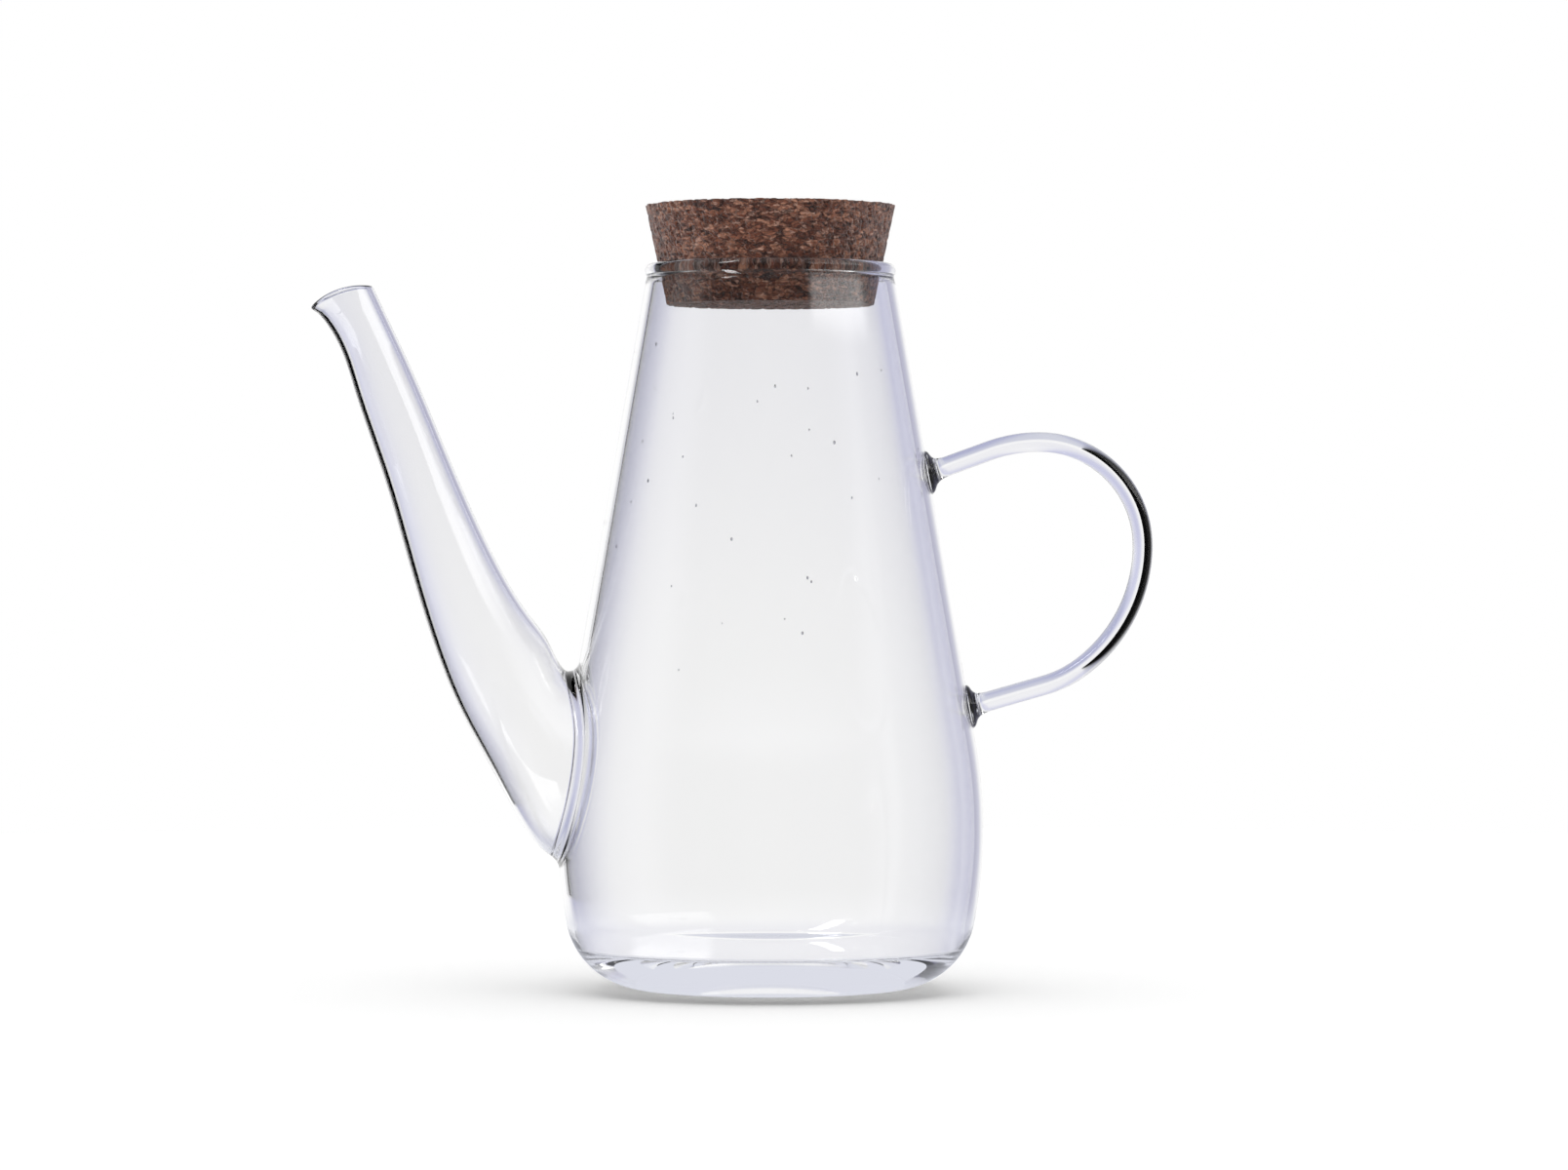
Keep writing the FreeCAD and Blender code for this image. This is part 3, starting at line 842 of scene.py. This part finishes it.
def lookRays(tree):
    # which rays show the room: the camera's, those straight through glass and those turned back by it
    path = addNode(tree, "ShaderNodeLightPath").outputs
    direct = maths(tree, "LESS_THAN", path["Diffuse Depth"], 0.5)
    turned = maths(tree, "GREATER_THAN", path["Glossy Depth"], 0.5)
    straight = maths(tree, "MULTIPLY", maths(tree, "GREATER_THAN", path["Transmission Depth"], 0.5),
                     maths(tree, "SUBTRACT", 1.0, turned))
    through = maths(tree, "MULTIPLY", straight, direct)
    mirror = maths(tree, "MULTIPLY", turned, direct)
    return path["Is Camera Ray"], through, mirror


def floorMaterial(look):
    # white matt sweep: the object shades it, glass sees it evenly lit and, further off, the room beyond
    material, tree = newMaterial("pale matt sweep")
    camera, through, mirror = lookRays(tree)
    matt = addNode(tree, "ShaderNodeBsdfDiffuse", {}, {"Color": rgba(look["floorColour"])})
    glow = addNode(tree, "ShaderNodeEmission", {},
                   {"Strength": maths(tree, "MULTIPLY", camera, look["floorGlow"])})
    both = addNode(tree, "ShaderNodeAddShader", {}, {0: matt.outputs[0], 1: glow.outputs[0]})
    place = addNode(tree, "ShaderNodeTexCoord").outputs["Object"]
    reach = addNode(tree, "ShaderNodeVectorMath", {"operation": "LENGTH"}, {0: place}).outputs["Value"]
    even = addNode(tree, "ShaderNodeEmission", {}, {"Color": rgba(look["floorNear"])})
    clear = addNode(tree, "ShaderNodeBsdfTransparent")
    fade = addNode(tree, "ShaderNodeMixShader", {},
                   {0: spanOf(tree, reach, *look["nearRadius"]), 1: even.outputs[0], 2: clear.outputs[0]})
    mix = addNode(tree, "ShaderNodeMixShader", {},
                  {0: maths(tree, "MAXIMUM", through, mirror), 1: both.outputs[0], 2: fade.outputs[0]})
    addNode(tree, "ShaderNodeOutputMaterial", {}, {"Surface": mix.outputs[0]})
    return material


def aroundRamp(tree, turn, levels, shade, tintSpan):
    # levels of white round the horizon; what is missing is filled with the shade
    ramp = addNode(tree, "ShaderNodeValToRGB", {},
                   {"Fac": maths(tree, "ADD", maths(tree, "DIVIDE", turn, 360.0), 0.5)})
    stops = ramp.color_ramp.elements
    for number, (degrees, level) in enumerate(levels):
        place = degrees / 360 + 0.5
        stop = stops[number] if number < 2 else stops.new(place)
        stop.position = place
        fill = max(0, 1 - level) * (abs(degrees) < tintSpan)
        stop.color = [level + fill * t for t in shade] + [1]
    return ramp.outputs[0]


def studioWorld(look):
    # plain daylight; glass shows a white backdrop behind it and a dim room to the sides
    world = bpy.data.worlds.new("studio")
    world.use_nodes = True
    bpy.context.scene.world = world
    tree = world.node_tree
    tree.nodes.clear()
    way = addNode(tree, "ShaderNodeTexCoord").outputs["Generated"]
    parts = addNode(tree, "ShaderNodeSeparateXYZ", {}, {0: way}).outputs
    turn = maths(tree, "DEGREES", maths(tree, "ARCTAN2", parts[0], parts[1]))     # from +Y to +X
    camera, through, mirror = lookRays(tree)
    ahead = aroundRamp(tree, turn, look["through"], look["throughShade"], look["tintSpan"])
    rise = mixColour(tree, spanOf(tree, parts[2], *look["rise"]), (1, 1, 1, 1), rgba(look["riseTint"]))
    rise = mixColour(tree, spanOf(tree, parts[2], *look["fall"]), rise, rgba(look["fallTint"]))
    ahead = addNode(tree, "ShaderNodeVectorMath", {"operation": "MULTIPLY"}, {0: ahead, 1: rise}).outputs[0]
    halfTurn = maths(tree, "RADIANS", maths(tree, "MULTIPLY", turn, 0.5))
    bow = maths(tree, "MULTIPLY", maths(tree, "SINE", halfTurn), look["boxBow"])
    low = spanOf(tree, maths(tree, "SUBTRACT", parts[2], bow), *look["boxRise"])
    aside = mixColour(tree, low, aroundRamp(tree, turn, look["mirrorPlain"], look["shade"], look["tintSpan"]),
                      aroundRamp(tree, turn, look["mirror"], look["shade"], look["tintSpan"]))
    above = spanOf(tree, parts[2], *look["overheadRise"])
    aside = mixColour(tree, above, aside, [look["overhead"]] * 3 + [1])
    plain = mixColour(tree, camera, [look["daylight"]] * 3 + [1], (1, 1, 1, 1))
    colour = mixColour(tree, mirror, mixColour(tree, through, plain, ahead), aside)
    back = addNode(tree, "ShaderNodeBackground", {}, {"Color": colour, "Strength": 1.0})
    addNode(tree, "ShaderNodeOutputWorld", {}, {"Surface": back.outputs[0]})


cardSizes = {
    # x, then from and to along Y and Z; the front faces +X and darkens along Y
    "spoutFlag": (-0.120, 0.0, 0.13, 0.001, 0.30), "handleFlag": (0.066, 0.002, 0.30, 0.03, 0.16),
    "flagFade": (0.0, 0.022),
    # the glowing strip round the foot that paints a pale reflection into the thick base: radius, heights,
    # fade, sides
    "ringRadius": 0.056, "ringHeights": (0.0005, 0.018), "ringFade": (0.018, 0.002), "ringSides": 64,
    # discs that throw the shade of the thick base and of the belly: radius, height, shift to the front, depth
    "shadePads": [(0.040, 0.0055, 0.009, 1.0), (0.047, 0.022, 0.005, 0.45)],
}


def cardEnds(tree, there, card):
    # the card as far as it is there, and nothing elsewhere
    clear = addNode(tree, "ShaderNodeBsdfTransparent")
    mix = addNode(tree, "ShaderNodeMixShader", {}, {0: there, 1: clear.outputs[0], 2: card.outputs[0]})
    addNode(tree, "ShaderNodeOutputMaterial", {}, {"Surface": mix.outputs[0]})


def flagMaterial(name, fade, onlyTurned):
    # black card for what meets its front: all that glass sends its way, or only what glass turns back
    material, tree = newMaterial(name)
    mirror = lookRays(tree)[2]
    behind = addNode(tree, "ShaderNodeNewGeometry").outputs["Backfacing"]
    place = addNode(tree, "ShaderNodeTexCoord").outputs["Object"]
    depth = addNode(tree, "ShaderNodeSeparateXYZ", {}, {0: place}).outputs[1]
    there = maths(tree, "MULTIPLY", maths(tree, "SUBTRACT", 1.0, behind), spanOf(tree, depth, *fade))
    if onlyTurned:
        there = maths(tree, "MULTIPLY", there, mirror)
    cardEnds(tree, there, addNode(tree, "ShaderNodeEmission", {}, {"Strength": 0.0}))
    return material


def reflectionGlowMaterial(colour, fade):
    # glowing pale strip round the foot, seen only in what glass turns back inside the thick base: a painted
    # reflection that lightens the base
    material, tree = newMaterial("glowing strip, painted reflection")
    mirror = lookRays(tree)[2]
    place = addNode(tree, "ShaderNodeTexCoord").outputs["Object"]
    height = addNode(tree, "ShaderNodeSeparateXYZ", {}, {0: place}).outputs[2]
    there = maths(tree, "MULTIPLY", mirror, spanOf(tree, height, *fade))
    cardEnds(tree, there, addNode(tree, "ShaderNodeEmission", {}, {"Color": rgba(colour)}))
    return material


def shadeMaterial(depth):
    # dark gauze: stops that share of the light
    material, tree = newMaterial("shade")
    gauze = addNode(tree, "ShaderNodeBsdfTransparent", {}, {"Color": [1 - depth] * 3 + [1]})
    addNode(tree, "ShaderNodeOutputMaterial", {}, {"Surface": gauze.outputs[0]})
    return material


def stagePiece(name, corners, faces, material):
    mesh = bpy.data.meshes.new(name)
    mesh.from_pydata(corners, [], faces)
    mesh.materials.append(material)
    piece = bpy.data.objects.new(name, mesh)
    bpy.context.scene.collection.objects.link(piece)
    return piece


def stagePlane(name, corners, material):
    return stagePiece(name, corners, [tuple(range(len(corners)))], material)


def ringOf(radius, height, count=96):
    turns = [2 * math.pi * n / count for n in range(count)]
    return [(radius * math.cos(t), radius * math.sin(t), height) for t in turns]


def flagAcross(x, near, far, low, high):
    # upright card along Y whose front faces +X
    return [(x, near, low), (x, far, low), (x, far, high), (x, near, high)]


def footRing(s, material):
    # upright glowing strip round the foot, for the painted reflection in the thick base
    count = s["ringSides"]
    low, high = (ringOf(s["ringRadius"], height, count) for height in s["ringHeights"])
    faces = [(n, (n + 1) % count, count + (n + 1) % count, count + n) for n in range(count)]
    return stagePiece("reflectionGlowRing", low + high, faces, material)


stagePlane("floorSweep", ringOf(studio["floorRadius"], 0.0), floorMaterial(studio))
studioWorld(studio)
flags = []
for name, skinName, onlyTurned in (("spoutFlag", "black card beside", True),
                                   ("handleFlag", "black card", False)):
    flagSkin = flagMaterial(skinName, cardSizes["flagFade"], onlyTurned)
    flags.append(stagePlane(name, flagAcross(*cardSizes[name]), flagSkin))
# glowing strip that is no lamp: it paints a pale reflection into the thick base and lights nothing else
flags.append(footRing(cardSizes, reflectionGlowMaterial(studio["floorNear"], cardSizes["ringFade"])))
for flag in flags:
    flag.visible_camera = flag.visible_diffuse = flag.visible_shadow = False

# the glass turns light away from the floor round its foot; discs that only shade stand for that
for number, (radius, height, shift, depth) in enumerate(cardSizes["shadePads"]):
    corners = [(x, y - shift, z) for x, y, z in ringOf(radius, height)]
    pad = stagePlane("shadePad" + str(number + 1), corners, shadeMaterial(depth))
    pad.visible_camera = pad.visible_glossy = pad.visible_transmission = False
print("cruet: floor, room and cards set")

lampSizes = {"wide": 0.12, "tall": 0.45, "power": 1.6, "place": (-0.42, -0.36, 0.75), "turn": (42, 0, -49)}
cameraSizes = {"lens": 128.7, "sensor": 36.0, "place": (0.0029, -1.19, 0.092), "tilt": -0.313}

lamp = bpy.data.objects.new("softLamp", bpy.data.lights.new("softLamp", "AREA"))
bpy.context.scene.collection.objects.link(lamp)
lamp.data.shape = "RECTANGLE"
lamp.data.size, lamp.data.size_y, lamp.data.energy = (lampSizes[key] for key in ("wide", "tall", "power"))
lit = bpy.data.collections.new("lampLit")               # the lamp lights the cruet and not the floor
for piece in (vessel, cork):
    lit.objects.link(piece)
lamp.light_linking.receiver_collection = lit
lamp.location = lampSizes["place"]
lamp.rotation_euler = [math.radians(degrees) for degrees in lampSizes["turn"]]

camera = bpy.data.objects.new("camera", bpy.data.cameras.new("camera"))
bpy.context.scene.collection.objects.link(camera)
bpy.context.scene.camera = camera
camera.data.lens, camera.data.sensor_width = cameraSizes["lens"], cameraSizes["sensor"]
camera.location = cameraSizes["place"]
camera.rotation_euler = (math.radians(90 + cameraSizes["tilt"]), 0, 0)
bpy.context.scene.view_settings.view_transform = "Standard"
bounces = bpy.context.scene.cycles                      # light turned back again and again in the thick base
bounces.glossy_bounces, bounces.transmission_bounces, bounces.max_bounces = 16, 16, 24
print("cruet: lamp and camera set")


# hand over to the frame

glassNodes = [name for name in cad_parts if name.startswith("glass")]
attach(vessel, "root")
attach(cork, "root")
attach(seeds, "root")
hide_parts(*glassNodes)
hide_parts("cork_stopper")
